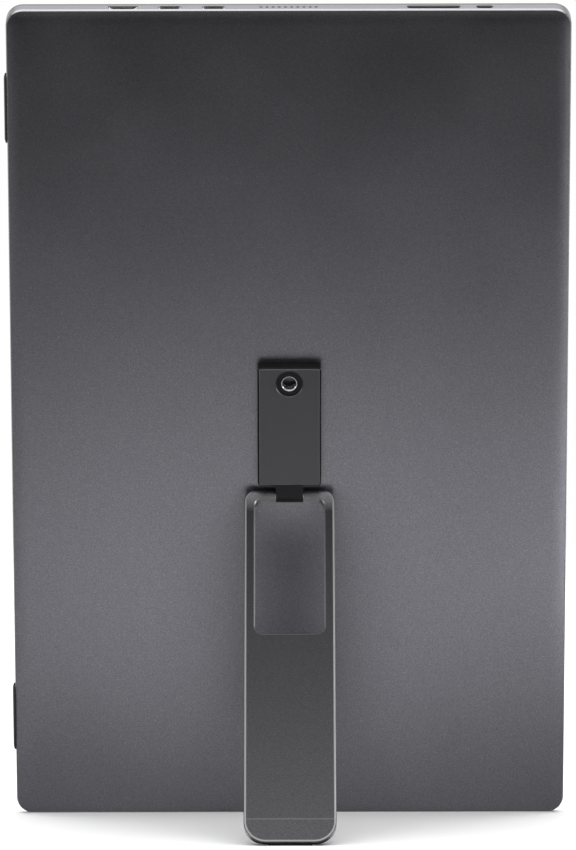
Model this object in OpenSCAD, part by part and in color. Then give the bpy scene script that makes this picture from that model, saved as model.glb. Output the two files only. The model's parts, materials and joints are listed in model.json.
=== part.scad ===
// A slim portable monitor that stands upright on a fold-out leg.
// The back faces -Y, so a view along +Y is a view of the back.
// Everything is drawn upright first: the body's back plane is y = 0, its glass faces +Y,
// its lower edge is z = 0 and its middle is x = 0. The whole is then leaned back, so that
// the lower edge and the tip of the leg both stand on z = 0.

/* [Body] */
// Width of the body, across the screen's short side
body_w = 230; // [214:1:300]
// Height of the body as it stands in portrait
body_h = 356.5; // [340:0.5:420]
// Thickness of the body
body_t = 8.2; // [8.2:0.1:11]
// Radius of the body's corners
corner_r = 7; // [7:0.5:14]
// Thickness of the rear cover's side walls
side_wall = 1.2; // [0.9:0.1:1.6]
// Thickness of the rear cover's back wall
back_wall = 1.2; // [1:0.1:1.3]
// Width of the bright cut chamfer round the back
edge_cut = 0.5; // [0.3:0.1:0.7]
// Depth of that chamfer down the side
edge_cut_d = 1.1; // [0.6:0.1:1.2]
// Width of the soft roll from the chamfer to the flat back
roll_w = 6; // [3:0.5:6]
// Depth of that roll
roll_d = 0.5; // [0.2:0.05:0.5]

/* [Screen] */
// Thickness of the cover glass
glass_t = 0.8; // [0.5:0.1:0.9]
// Thickness of the picture cell
cell_t = 0.9; // [0.6:0.1:0.9]
// Thickness of the backlight
backlight_t = 1.2; // [0.9:0.1:1.2]
// Width of the front frame's visible rim
rim_w = 1.4; // [1:0.1:2]
// Depth of the front frame's visible rim
rim_t = 1.2; // [0.9:0.1:1.6]
// Width of the ledge under the glass
ledge_w = 2; // [1.5:0.1:2.4]
// Extra border on the side that is down in landscape
chin_w = 3.3; // [2:0.1:6]

/* [Stand plate] */
// Width of the stand plate
plate_w = 26.2; // [24:0.2:28]
// Height of the stand plate
plate_h = 52.3; // [50:0.5:56]
// Distance from the body's back to the plate's face
plate_out = 6.3; // [6:0.1:8]
// Radius of the plate's corners
plate_r = 1.2; // [1:0.1:3]
// Width of the fine chamfer round the plate's face
plate_cut = 0.7; // [0.3:0.1:0.9]
// Radius of the pivot shaft that the plate turns on
pivot_r = 4.5; // [3.5:0.1:5]
// Thickness of the black friction washer under the plate
washer_t = 0.45; // [0.3:0.05:0.6]
// Radius of the friction washer
washer_r = 12; // [9:0.5:12.5]
// Distance of the tripod thread above the pivot
tripod_up = 17.8; // [17:0.2:20]
// Radius of the tripod thread's bore
tripod_r = 2.55; // [2:0.05:2.8]
// Radius of the dark recess round the tripod thread
tripod_recess_r = 5.45; // [4.8:0.05:5.6]

/* [Leg] */
// Width of the leg
leg_w = 37.6; // [35:0.2:46]
// Thickness of the leg
leg_t = 4; // [3.6:0.1:4.4]
// Length of the leg from the hinge axis to its tip
leg_l = 169; // [150:1:172]
// Width of the window in the leg
window_w = 28.4; // [28.2:0.2:30]
// Distance from the hinge axis to the far end of the window
window_end = 69.5; // [64:0.5:90]
// Radius of the leg's corners at the hinge
leg_r = 6; // [5:0.5:8]
// Radius of the leg's corners at the tip
tip_r = 9; // [6:0.5:10]
// Radius of the window's corners
window_r = 3.5; // [3:0.5:6]
// Width of the fine chamfer round the leg's edges
leg_cut = 0.5; // [0.3:0.1:0.7]
// Length of the finger bevel at the tip
bevel_l = 10; // [6:0.5:14]
// Depth of the finger bevel at the tip
bevel_d = 1.7; // [0.8:0.1:1.8]
// Angle that the leg is opened from its stowed place, in degrees
leg_open = 124; // [114:1:130]
// Distance of the hinge axis below the pivot
hinge_down = 32.8; // [31.5:0.2:34]
// Distance of the hinge axis from the body's back
hinge_out = 3.2; // [3.2:0.1:3.6]
// Radius of the hinge pin
pin_r = 1.1; // [0.8:0.05:1.2]
// Width of the plate's knuckle between the leg's ears
knuckle_w = 11.2; // [9:0.2:13]
// Radius of that knuckle
knuckle_r = 2.8; // [2.6:0.1:2.8]

/* [Keys] */
// Length of the volume key
volume_l = 21.2; // [18:0.2:24]
// Length of the power key
power_l = 6.3; // [5:0.1:8]
// Width of both keys across the edge
key_w = 2; // [1.6:0.1:2.2]
// Distance that the keys stand out of the edge
key_out = 0.5; // [0.4:0.05:0.8]
// Travel of the power key
power_travel = 0.35; // [0.2:0.05:0.4]
// Tilt of the volume key to each side, in degrees
volume_tilt = 1.5; // [0.8:0.1:1.5]

/* [Foot strips] */
// Length of each rubber foot strip
strip_l = 30; // [20:1:50]
// Width of each foot strip
strip_w = 4.6; // [3:0.1:5]
// Height that a foot strip stands out of the side
strip_out = 1.15; // [0.6:0.05:1.6]
// Distance from the body's ends to the middle of each strip
strip_inset = 43.2; // [35:0.2:80]

/* [Hidden] */
$fn = 48;

// Clearances: a piece laid in its seat, a turning shaft, and two pieces that pass each other.
seat_gap = 0.1;
shaft_gap = 0.05;
free_gap = 0.3;
// A cut runs this far past the face that it opens
over = 1;

// Screen pieces, from the glass inwards
glass_back = body_t - glass_t;
cell_back = glass_back - cell_t;
light_back = cell_back - backlight_t;
rim_back = body_t - rim_t;
ledge_back = glass_back - rim_t;
ledge_inset = side_wall + seat_gap + ledge_w;
cell_gap = 0.35;
ledge_r = 2.5;
cell_w = body_w - 2 * ledge_inset - 2 * cell_gap;
cell_h = body_h - 2 * ledge_inset - 2 * cell_gap;
cell_r = ledge_r - cell_gap;

// Pivot, hinge and floor
pivot_z = body_h / 2;
plate_low = pivot_z - plate_h / 2 - 1.15;
plate_back = washer_t + shaft_gap;
hinge_z = pivot_z - hinge_down;
knuckle_bore_r = pin_r + 0.85;
ear_end = leg_w / 2 - leg_r + sqrt(leg_r * leg_r - pow(leg_r - leg_t / 2, 2));
pin_l = 2 * (ear_end - 1.2);
pad_w = leg_w - 2 * tip_r - 1.6;
pad_l = 8;
pad_sunk = 1;
pad_proud = 1.2;
window_low = leg_t / 2 + 0.4;
// The point of the tip pad that meets the floor: along the leg, and out from its middle
foot_s = leg_l - 0.2;
foot_t = leg_t / 2 + 0.5;
foot_out = hinge_out + foot_s * sin(leg_open) + foot_t * cos(leg_open);
foot_z = hinge_z + foot_s * cos(leg_open) - foot_t * sin(leg_open);
lower_edge_y = edge_cut_d + roll_d;
lean = atan(foot_z / (foot_out + lower_edge_y));
// Furthest forward and furthest back once leaned: the glass's lower edge and the leg's tip
glass_foot_y = (body_t - lower_edge_y) * cos(lean);
tip_t = bevel_d - leg_t / 2;
tip_out = hinge_out + leg_l * sin(leg_open) + tip_t * cos(leg_open);
tip_z = hinge_z + leg_l * cos(leg_open) - tip_t * sin(leg_open);
tip_y = -(tip_out + lower_edge_y) * cos(lean) - tip_z * sin(lean);

// Boards and sockets
board_t = 0.8;
socket_y = light_back - 1.75;
board_back = socket_y - board_t / 2;
board_front = socket_y + board_t / 2;
socket_depth = 7.3;
socket_sunk = 0.2;
board_top = body_h - socket_sunk - socket_depth;
board_left = -82;
board_right = -22;
board_h = 62;
screw_inset = 3.5;
video_x = -67.3;
type_c_x = [-48.3, -30.4];
type_c_w = 8.94;
type_c_h = 3.26;
video_w = 11.2;
video_h = 3.3;
shell_t = 0.3;
socket_floor = 1;
tongue_t = 0.7;
tongue_short = 1.6;
type_c_tongue_w = 6.7;
video_tongue_w = 8.8;
video_corner = 1.1;
boss_r = 2;
screw_r = 0.7;
head_r = 1.7;
head_t = 0.6;
head_drive_r = 0.5;
ribbon_t = 0.2;
driver_w = 7;
driver_x = -body_w / 2 + side_wall + 2;
driver_low = 80;
driver_top = board_top - 36;
driver_chips = 6;
driver_chip = [3, 0.6, 12];
ribbon_w = 14;
ribbon_lap = 6;
ribbon_slack = 2;
video_chip = [12, 1, 7];
power_chip = [10, 1, 8];
filter_chip = [1.8, 0.7, 3];
filter_pitch = 3.2;
shield = [22, 1.2, 18];
shield_wall = 0.3;

// Speakers and their grilles
grille_n = 10;
grille_pitch = 2.5;
grille_r = 0.55;
speaker_w = 38;
speaker_d = 9;
speaker_gap = 0.3;
edge_y = body_t / 2;

// Keys
volume_x = 59;
power_x = 79.7;
key_lip = 0.6;
key_lip_t = 0.9;
// Room above the lips for the rocker's tilt, and above the switches for the power key's travel
key_room = free_gap + (volume_l / 2 + key_lip) * sin(volume_tilt);
lip_top = body_h - side_wall - key_room;
lip_low = lip_top - key_lip_t;
axle_z = body_h - 4.6;
axle_r = 0.8;
hub_r = 1.7;
key_foot_t = 0.8;
hub_back = back_wall + key_foot_t + free_gap;
hub_front = light_back - free_gap - 0.2;
switch_x = 7.6;
switch_gap = power_travel + seat_gap;
switch = [3, 2, 1.2];
plunger_r = 0.7;
plunger_h = 0.3;
key_board_x = [47, 85];
key_board_top = lip_low - switch_gap - switch[2] - plunger_h;

// Foot strips: let into the side, with a domed face
strip_sunk = 0.4;
strip_dome_r = 6;

// Pivot hardware inside the body
bracket_w = 66;
bracket_h = 50;
bracket_t = 1.2;
bracket_hole_x = 27;
bracket_hole_z = 19;
bracket_window_x = 20;
bracket_window_r = 4;
bracket_corner_r = 6;
bracket_screw_r = 0.9;
bracket_head_r = 3;
bracket_head_t = 0.8;
bracket_drive_r = 1;
spring_t = 1;
spring_r = 6.6;
spring_sheet = 0.3;
nut_t = 1.2;
nut_r = 7;
shaft_sunk = 2.6;
shaft_drive_r = 1.5;
shaft_drive_d = 1.2;
shaft_end = light_back - 0.3;
bush_flange_r = 4.4;
bush_flange_t = 1;
bush_neck_r = 3.3;
bush_proud = 0.25;
bush_bevel = 0.45;
recess_d = 0.9;

// Rounded rectangle with one edge profile carried right round it.
// edge lists [distance in from the outline, y], from the back face to the front face.
module rounded_plate(w, h, r, edge) {
    back_y = edge[0][1];
    front_y = edge[len(edge) - 1][1];
    last = len(edge) - 1;
    across = concat([for (p = edge) [w / 2 - p[0], p[1]]],
        [for (i = [last:-1:0]) [edge[i][0] - w / 2, edge[i][1]]]);
    along = concat([for (p = edge) [h - p[0], p[1]]],
        [for (i = [last:-1:0]) edge[i]]);
    corner = concat([[0, back_y]], [for (p = edge) [r - p[0], p[1]]], [[0, front_y]]);
    translate([0, 0, r]) linear_extrude(h - 2 * r) polygon(across);
    rotate([0, -90, 0]) linear_extrude(w - 2 * r, center = true) polygon(along);
    for (x = [r - w / 2, w / 2 - r], z = [r, h - r])
        translate([x, 0, z]) rotate([-90, 0, 0]) rotate_extrude() polygon(corner);
}

// Plain rounded rectangle from y0 to y1
module plain_plate(w, h, r, y0, y1) {
    rounded_plate(w, h, r, [[0, y0], [0, y1]]);
}

// Round bar along +Y from y0 to y1
module bar_y(r, y0, y1) {
    translate([0, y0, 0]) rotate([-90, 0, 0]) cylinder(r = r, h = y1 - y0);
}

// Round bar along X, centred
module bar_x(r, l) {
    rotate([0, 90, 0]) cylinder(r = r, h = l, center = true);
}

// Slot with round ends, long in X, from z0 to z1
module slot_z(w, d, z0, z1) {
    for (x = [-1, 1]) translate([x * (w - d) / 2, 0, z0]) cylinder(r = d / 2, h = z1 - z0);
    translate([(d - w) / 2, -d / 2, z0]) cube([w - d, d, z1 - z0]);
}

// Puts the upright drawing on its feet, with the middle of its footprint at the origin
module leaned() {
    translate([strip_out / 2, -(glass_foot_y + tip_y) / 2, 0])
        rotate([lean, 0, 0]) translate([0, -lower_edge_y, 0]) children();
}

// Half space under the floor, drawn in the upright frame
module below_floor() {
    translate([0, lower_edge_y, 0]) rotate([-lean, 0, 0])
        translate([-leg_w, -2 * leg_l, -leg_l]) cube([2 * leg_w, 3 * leg_l, leg_l]);
}

// Places a piece of the leg: s runs from the hinge along +Z, the stowed outer face is -Y
module on_leg() {
    translate([0, -hinge_out, hinge_z]) rotate([leg_open, 0, 0]) children();
}

// Places a piece on the plate's pivot
module on_pivot() {
    translate([0, 0, pivot_z]) children();
}

// Back edge of the body: soft roll, bright cut, then the straight side
function roll_step(i) = let(u = i / 6) [edge_cut + roll_w * (1 - u), roll_d * u * u];
function cover_edge() = concat([for (i = [0:6]) roll_step(i)],
    [[0, edge_cut_d + roll_d], [0, rim_back]]);

module grille_holes(z0, z1) {
    for (i = [0:grille_n - 1])
        translate([(i - (grille_n - 1) / 2) * grille_pitch, edge_y, z0])
            cylinder(r = grille_r, h = z1 - z0, $fn = 24);
}

// Places of the four board screws
board_screw_at = [for (x = [board_left + screw_inset, board_right - screw_inset],
    z = [board_top - board_h + screw_inset, board_top - 10]) [x, z]];
bracket_screw_at = [for (x = [-1, 1], z = [-1, 1])
    [x * bracket_hole_x, pivot_z + z * bracket_hole_z]];

module rear_cover() color("#5b5b60") leaned() difference() {
    union() {
        difference() {
            rounded_plate(body_w, body_h, corner_r, cover_edge());
            translate([0, 0, side_wall])
                plain_plate(body_w - 2 * side_wall, body_h - 2 * side_wall,
                    corner_r - side_wall, back_wall, body_t);
        }
        for (p = board_screw_at) translate([p[0], 0, p[1]]) bar_y(boss_r, roll_d, board_back);
        for (p = bracket_screw_at)
            translate([p[0], 0, p[1]]) bar_y(boss_r, roll_d, back_wall + bracket_t);
        translate([volume_x, 0, axle_z]) bar_y(axle_r, roll_d, hub_front - 0.2);
    }
    for (p = board_screw_at)
        translate([p[0], 0, p[1]]) bar_y(screw_r, back_wall, board_back + over);
    for (p = bracket_screw_at)
        translate([p[0], 0, p[1]]) bar_y(bracket_screw_r, back_wall, back_wall + bracket_t + over);
    on_pivot() bar_y(pivot_r + free_gap, -over, back_wall + over);
    cover_edge_cuts();
    for (z = [strip_inset, body_h - strip_inset]) strip_form(z, strip_l + 0.2, strip_w + 0.2);
}

// Openings in the narrow edges: sockets, grilles and keys
module cover_edge_cuts() {
    z0 = body_h - side_wall - over;
    z1 = body_h + over;
    translate([video_x, socket_y, z0]) linear_extrude(z1 - z0) video_outline(-free_gap);
    for (x = type_c_x)
        translate([x, socket_y, 0]) slot_z(type_c_w + 2 * free_gap, type_c_h + 0.4, z0, z1);
    translate([volume_x, edge_y, 0])
        slot_z(volume_l + 2 * free_gap, key_w + 2 * free_gap, z0, z1);
    translate([power_x, edge_y, 0])
        slot_z(power_l + 2 * free_gap, key_w + 2 * free_gap, z0, z1);
    grille_holes(z0, z1);
    grille_holes(-over, side_wall + over);
}

module front_frame() color("#1b1b1d") leaned() difference() {
    union() {
        plain_plate(body_w, body_h, corner_r, rim_back, body_t);
        translate([0, 0, side_wall + seat_gap])
            plain_plate(body_w - 2 * (side_wall + seat_gap), body_h - 2 * (side_wall + seat_gap),
                corner_r - side_wall - seat_gap, ledge_back, rim_back + 0.1);
    }
    translate([0, 0, rim_w]) plain_plate(body_w - 2 * rim_w, body_h - 2 * rim_w,
        corner_r - rim_w, glass_back, body_t + over);
    translate([0, 0, ledge_inset]) plain_plate(body_w - 2 * ledge_inset, body_h - 2 * ledge_inset,
        ledge_r, ledge_back - over, body_t);
}

module cover_glass() color("#0c0c0e") leaned()
    translate([0, 0, rim_w + seat_gap]) rounded_plate(body_w - 2 * (rim_w + seat_gap),
        body_h - 2 * (rim_w + seat_gap), corner_r - rim_w - seat_gap,
        [[0, glass_back], [0, body_t - 0.2], [0.2, body_t]]);

module picture_cell() color("#15161a") leaned()
    translate([0, 0, ledge_inset + cell_gap]) plain_plate(cell_w, cell_h, cell_r, cell_back, glass_back);

// Stepped tray: the light guide, and the driver's border along the chin
module backlight() color("#c9ccd0") leaned() difference() {
    translate([0, 0, ledge_inset + cell_gap])
        plain_plate(cell_w, cell_h, cell_r, light_back, cell_back);
    translate([-cell_w / 2 - over, light_back - over, driver_low])
        cube([chin_w + over, over + backlight_t / 2, driver_top - driver_low]);
}

module driver_board() color("#1f5a3a") leaned() {
    translate([driver_x, light_back - seat_gap - board_t, driver_low])
        cube([driver_w, board_t, driver_top - driver_low]);
    pitch = (driver_top - driver_low) / driver_chips;
    for (i = [0:driver_chips - 1]) translate([driver_x + (driver_w - driver_chip[0]) / 2,
            light_back - seat_gap - board_t - driver_chip[1], driver_low + (i + 0.3) * pitch])
        cube(driver_chip);
}

module display_ribbon() color("#b07a2a") leaned() {
    far = light_back - seat_gap - board_t;
    near_end = board_left + ribbon_lap;
    far_end = driver_x + driver_w - ribbon_lap;
    near_bend = board_left - ribbon_slack;
    far_bend = driver_x + driver_w + ribbon_slack;
    shape = [[near_end, board_front], [near_bend, board_front], [far_bend, far - ribbon_t],
        [far_end, far - ribbon_t], [far_end, far], [far_bend, far],
        [near_bend, board_front + ribbon_t], [near_end, board_front + ribbon_t]];
    translate([0, 0, driver_top - ribbon_w - 1]) linear_extrude(ribbon_w) polygon(shape);
}

module main_board() color("#1f5a3a") leaned() difference() {
    union() {
        translate([board_left, board_back, board_top - board_h])
            cube([board_right - board_left, board_t, board_h]);
        translate([board_right - 16, board_front, board_top - 52]) cube(video_chip);
        translate([board_left + 12, board_back - power_chip[1], board_top - 30]) cube(power_chip);
        for (i = [0:5])
            translate([board_right - 22 + i * filter_pitch, board_back - filter_chip[1], board_top - 20])
                cube(filter_chip);
    }
    for (p = board_screw_at)
        translate([p[0], 0, p[1]]) bar_y(screw_r + 0.2, board_back - over, board_front + over);
}

module board_shield() color("#b9bcc0") leaned()
    translate([board_left + 20, board_front, board_top - 42]) difference() {
        cube(shield);
        translate([shield_wall, -over, shield_wall])
            cube([shield[0] - 2 * shield_wall, over + shield[1] - shield_wall, shield[2] - 2 * shield_wall]);
    }

module board_screws() color("#8b8d90") leaned()
    for (p = board_screw_at) translate([p[0], 0, p[1]]) {
        bar_y(screw_r, back_wall + free_gap, board_front);
        difference() {
            bar_y(head_r, board_front, board_front + head_t);
            bar_y(head_drive_r, board_front + head_t / 2, board_front + head_t + over);
        }
    }

// Metal socket shell with its tongue, mouth flush with the edge
module type_c_shell() {
    difference() {
        slot_z(type_c_w, type_c_h, board_top, body_h - socket_sunk);
        slot_z(type_c_w - 2 * shell_t, type_c_h - 2 * shell_t, board_top + socket_floor, body_h + over);
    }
    tongue(type_c_tongue_w, -tongue_t / 2);
}

// Flat tongue that carries a socket's contacts, standing on the socket's floor
module tongue(w, y) {
    translate([-w / 2, y, board_top + socket_floor / 2]) cube([w, tongue_t, socket_depth - tongue_short]);
}

module mini_video_socket() color("#a9abad") leaned() translate([video_x, socket_y, 0]) {
    difference() {
        translate([0, 0, board_top]) linear_extrude(socket_depth) video_outline(0);
        translate([0, 0, board_top + socket_floor]) linear_extrude(socket_depth) video_outline(shell_t);
    }
    tongue(video_tongue_w, 0.1);
}

// Outline of the mini video socket: flat on one side, with two cut corners on the other
module video_outline(wall) {
    x = video_w / 2 - wall;
    y = video_h / 2 - wall;
    polygon([[-x, y], [x, y], [x, video_corner - y], [x - video_corner, -y],
        [video_corner - x, -y], [-x, video_corner - y]]);
}

module type_c_socket_1() color("#a9abad") leaned()
    translate([type_c_x[0], socket_y, 0]) type_c_shell();

module type_c_socket_2() color("#a9abad") leaned()
    translate([type_c_x[1], socket_y, 0]) type_c_shell();

// Flat box speaker: its sound slot faces the grille
module speaker() {
    top = body_h - side_wall - speaker_gap;
    difference() {
        translate([0, 0, top - speaker_d])
            plain_plate(speaker_w, speaker_d, 2, back_wall, light_back - free_gap);
        translate([0, edge_y - 0.2, 0])
            slot_z((grille_n - 1) * grille_pitch + 2, 1.8, top - 2, top + over);
        translate([0, 0, top - speaker_d / 2 - 1]) bar_y(2.4, light_back - 1, light_back + over);
    }
}

module speaker_upper() color("#242427") leaned() speaker();

module speaker_lower() color("#242427") leaned() translate([0, 0, body_h]) mirror([0, 0, 1]) speaker();

// Narrow board under the keys, with one push switch for each press
module key_board() color("#1f5a3a") leaned() {
    low = key_board_top - board_t;
    length = key_board_x[1] - key_board_x[0];
    difference() {
        union() {
            translate([key_board_x[0], back_wall, low]) cube([length, hub_front - back_wall, board_t]);
            translate([key_board_x[0], back_wall, low - 3]) cube([length, key_foot_t, 3]);
        }
        translate([volume_x - hub_r - free_gap, back_wall + key_foot_t, low - over])
            cube([2 * hub_r + 2 * free_gap, body_t, board_t + 2 * over]);
        translate([volume_x, 0, axle_z]) bar_y(axle_r + seat_gap, 0, body_t);
    }
    for (x = [volume_x - switch_x, volume_x + switch_x, power_x])
        translate([x, edge_y - 0.6, key_board_top]) {
            translate([-switch[0] / 2, -switch[1] / 2, 0]) cube(switch);
            translate([0, 0, switch[2]]) cylinder(r = plunger_r, h = plunger_h, $fn = 24);
        }
}

// Key cap with a lip that keeps it inside the edge
module key_form(l) {
    slot_z(l, key_w, lip_low, body_h + key_out - 0.3);
    slot_z(l - 0.4, key_w - 0.4, lip_low, body_h + key_out);
    slot_z(l + 2 * key_lip, key_w + key_lip, lip_low, lip_top);
}

// Rocker: its hub turns on a post that stands on the rear cover
module volume_key() color("#101012") leaned() difference() {
    union() {
        translate([volume_x, edge_y, 0]) key_form(volume_l);
        translate([volume_x, 0, axle_z]) bar_y(hub_r, hub_back, hub_front);
        translate([volume_x - 1.2, edge_y - 0.9, axle_z]) cube([2.4, 1.2, lip_low - axle_z + 0.2]);
    }
    translate([volume_x, 0, axle_z]) bar_y(axle_r + shaft_gap, 0, body_t);
}

module power_key() color("#101012") leaned() translate([power_x, edge_y, 0]) key_form(power_l);

// Rubber strip with a domed face and round ends, let into the long side
module strip_form(z, l, w) {
    height = strip_out + strip_sunk;
    translate([-body_w / 2, edge_y, z]) intersection() {
        translate([-strip_out, 0, 0]) union() {
            translate([0, -w / 2, -(l - w) / 2]) cube([height, w, l - w]);
            for (s = [-1, 1]) translate([0, 0, s * (l - w) / 2])
                rotate([0, 90, 0]) cylinder(r = w / 2, h = height);
        }
        translate([strip_dome_r - strip_out, 0, -l]) cylinder(r = strip_dome_r, h = 2 * l, $fn = 96);
    }
}

module foot_strip_upper() color("#0d0d0f") leaned()
    strip_form(body_h - strip_inset, strip_l, strip_w);

module foot_strip_lower() color("#0d0d0f") leaned() strip_form(strip_inset, strip_l, strip_w);

// Steel plate inside the cover that the pivot shaft turns in
module pivot_bracket() color("#8f9296") leaned() difference() {
    translate([0, 0, pivot_z - bracket_h / 2])
        plain_plate(bracket_w, bracket_h, bracket_corner_r, back_wall, back_wall + bracket_t);
    on_pivot() bar_y(pivot_r + shaft_gap, 0, body_t);
    for (p = bracket_screw_at) translate([p[0], 0, p[1]]) bar_y(boss_r + seat_gap, 0, body_t);
    for (x = [-bracket_window_x, bracket_window_x])
        translate([x, 0, pivot_z]) bar_y(bracket_window_r, 0, body_t);
}

module bracket_screws() color("#8b8d90") leaned()
    for (p = bracket_screw_at) translate([p[0], 0, p[1]]) {
        seat = back_wall + bracket_t;
        bar_y(bracket_screw_r, back_wall + 0.2, seat);
        difference() {
            bar_y(bracket_head_r, seat, seat + bracket_head_t);
            bar_y(bracket_drive_r, seat + bracket_head_t / 3, seat + bracket_head_t + over);
        }
    }

module friction_washer() color("#0f0f11") leaned() on_pivot() difference() {
    bar_y(washer_r, -washer_t, 0);
    bar_y(pivot_r + free_gap, -washer_t - over, over);
}

// Plate and knuckle in one: the tripod thread above, the leg's hinge below
module stand_plate() color("#2c2c30") leaned() difference() {
    union() {
        translate([0, 0, plate_low]) rounded_plate(plate_w, plate_h, plate_r,
            [[plate_cut, -plate_out], [0, plate_cut - plate_out], [0, -plate_back]]);
        translate([0, -hinge_out, hinge_z]) bar_x(knuckle_r, knuckle_w);
        translate([-knuckle_w / 2, -hinge_out - knuckle_r, hinge_z])
            cube([knuckle_w, 2 * knuckle_r, plate_low - hinge_z + 1]);
    }
    translate([0, -hinge_out, hinge_z]) bar_x(knuckle_bore_r, knuckle_w + 2 * over);
    on_pivot() bar_y(pivot_r, -plate_back - shaft_sunk, 0);
    translate([0, 0, pivot_z + tripod_up]) {
        bar_y(bush_neck_r, -plate_out - over, 0);
        bar_y(bush_flange_r, -plate_back - bush_flange_t - 0.2, 0);
        bar_y(tripod_recess_r, -plate_out - over, recess_d - plate_out);
        translate([0, -plate_out - 0.01, 0]) rotate([-90, 0, 0])
            cylinder(r1 = tripod_recess_r + bush_bevel, r2 = tripod_recess_r, h = bush_bevel);
    }
}

module pivot_shaft() color("#9a9da1") leaned() on_pivot() difference() {
    bar_y(pivot_r, -plate_back - shaft_sunk, shaft_end);
    bar_y(shaft_drive_r, shaft_end - shaft_drive_d, shaft_end + over);
}

// Two dished spring washers, back to back
module spring_washers() color("#9a9da1") leaned() on_pivot() {
    first = back_wall + bracket_t + shaft_gap;
    half = spring_t / 2;
    dish = half - spring_sheet;
    translate([0, first, 0]) rotate([-90, 0, 0]) rotate_extrude()
        polygon([[pivot_r, dish], [spring_r, 0], [spring_r, spring_sheet], [pivot_r, half]]);
    translate([0, first + half, 0]) rotate([-90, 0, 0]) rotate_extrude()
        polygon([[pivot_r, 0], [spring_r, dish], [spring_r, half], [pivot_r, spring_sheet]]);
}

module pivot_nut() color("#9a9da1") leaned() on_pivot() difference() {
    first = back_wall + bracket_t + shaft_gap + spring_t;
    translate([0, first, 0]) rotate([-90, 0, 0]) cylinder(r = nut_r, h = nut_t, $fn = 6);
    bar_y(pivot_r, 0, body_t);
}

// Threaded bush let into the plate from behind; its bore takes a tripod screw
module tripod_bush() color("#c4c6c8") leaned() translate([0, 0, pivot_z + tripod_up]) difference() {
    face = recess_d - bush_proud - plate_out;
    union() {
        bar_y(bush_neck_r, face, -plate_back - 0.2);
        bar_y(bush_flange_r, -plate_back - bush_flange_t - 0.2, -plate_back - 0.2);
    }
    bar_y(tripod_r, face - over, 0);
    translate([0, face - 0.01, 0]) rotate([-90, 0, 0])
        cylinder(r1 = tripod_r + bush_bevel, r2 = tripod_r, h = bush_bevel);
}

// Split friction sleeves pressed into the knuckle; the pin turns in them
module friction_sleeves() color("#b08d4a") leaned() translate([0, -hinge_out, hinge_z])
    for (x = [-1, 1]) translate([x * (knuckle_w / 4 + 0.2), 0, 0]) difference() {
        bar_x(knuckle_bore_r, knuckle_w / 2 - 0.6);
        bar_x(pin_r + 0.03, knuckle_w);
    }

function leg_edge(c) = [[c, -leg_t / 2], [0, c - leg_t / 2], [0, leg_t / 2 - c], [c, leg_t / 2]];
function window_edge(c) = [[-c - over, -leg_t / 2 - over], [-c, -leg_t / 2], [0, c - leg_t / 2],
    [0, leg_t / 2 - c], [-c, leg_t / 2], [-c - over, leg_t / 2 + over]];

// The leg's whole outline with one corner radius, from the end of its barrel to the tip
module leg_blank(r) {
    translate([0, 0, -leg_t / 2]) rounded_plate(leg_w, leg_l + leg_t / 2, r, leg_edge(leg_cut));
}

module leg() color("#85868b") leaned() on_leg() difference() {
    union() {
        intersection() {
            leg_blank(leg_r);
            union() {
                bar_x(leg_t / 2, leg_w + over);
                translate([-leg_w, -leg_t, 0]) cube([2 * leg_w, 2 * leg_t, leg_l / 2]);
            }
        }
        intersection() {
            leg_blank(tip_r);
            translate([-leg_w, -leg_t, leg_l / 2]) cube([2 * leg_w, 2 * leg_t, leg_l]);
        }
    }
    translate([0, 0, window_low])
        rounded_plate(window_w, window_end - window_low, window_r, window_edge(leg_cut));
    translate([-knuckle_w / 2 - free_gap, -leg_t, -leg_t])
        cube([knuckle_w + 2 * free_gap, 2 * leg_t, leg_t + window_low + 1]);
    bar_x(pin_r, leg_w + over);
    finger_bevel();
    translate([-pad_w / 2 - 0.05, -leg_t / 2 - over, leg_l - pad_l])
        cube([pad_w + seat_gap, pad_sunk + over, pad_l + over]);
}

// Slope on the face that lies on the body when stowed, so that a finger gets under the tip
module finger_bevel() {
    rotate([0, -90, 0]) linear_extrude(leg_w + over, center = true) polygon([
        [leg_l - bevel_l, leg_t / 2], [leg_l + over, leg_t / 2 - bevel_d * (1 + over / bevel_l)],
        [leg_l + over, leg_t], [leg_l - bevel_l, leg_t]]);
}

// Rubber pad on the tip, cut flat where it stands on the floor
module leg_tip_pad() color("#0d0d0f") leaned() difference() {
    on_leg() rotate([0, -90, 0]) linear_extrude(pad_w, center = true) polygon([
        [leg_l - pad_l, pad_sunk - leg_t / 2], [leg_l, pad_sunk - leg_t / 2],
        [leg_l, -leg_t / 2 + 0.6], [leg_l + 0.6, -leg_t / 2 + 0.4], [leg_l + 0.6, -leg_t / 2 - pad_proud],
        [leg_l - pad_l + 1, -leg_t / 2 - pad_proud * 0.4], [leg_l - pad_l, -leg_t / 2]]);
    below_floor();
}

module hinge_pin() color("#6c6e72") leaned() translate([0, -hinge_out, hinge_z]) bar_x(pin_r, pin_l);

rear_cover();
front_frame();
cover_glass();
picture_cell();
backlight();
driver_board();
display_ribbon();
main_board();
board_shield();
board_screws();
mini_video_socket();
type_c_socket_1();
type_c_socket_2();
speaker_upper();
speaker_lower();
key_board();
volume_key();
power_key();
foot_strip_upper();
foot_strip_lower();
pivot_bracket();
bracket_screws();
friction_washer();
stand_plate();
pivot_shaft();
spring_washers();
pivot_nut();
tripod_bush();
friction_sleeves();
leg();
hinge_pin();
leg_tip_pad();
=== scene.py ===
# %% [markdown]
# A slim portable monitor seen from behind. It stands in portrait on a folding metal leg.
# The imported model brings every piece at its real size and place. This lesson dresses it: first the
# camera and the light, then one finish after another, then the pieces that a camera close to the
# object would miss, such as the screw thread in the plate and the contacts in the sockets.

# %% Load the frame
import json
import math

import bpy
import numpy as np
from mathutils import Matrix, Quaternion, Vector


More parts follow.
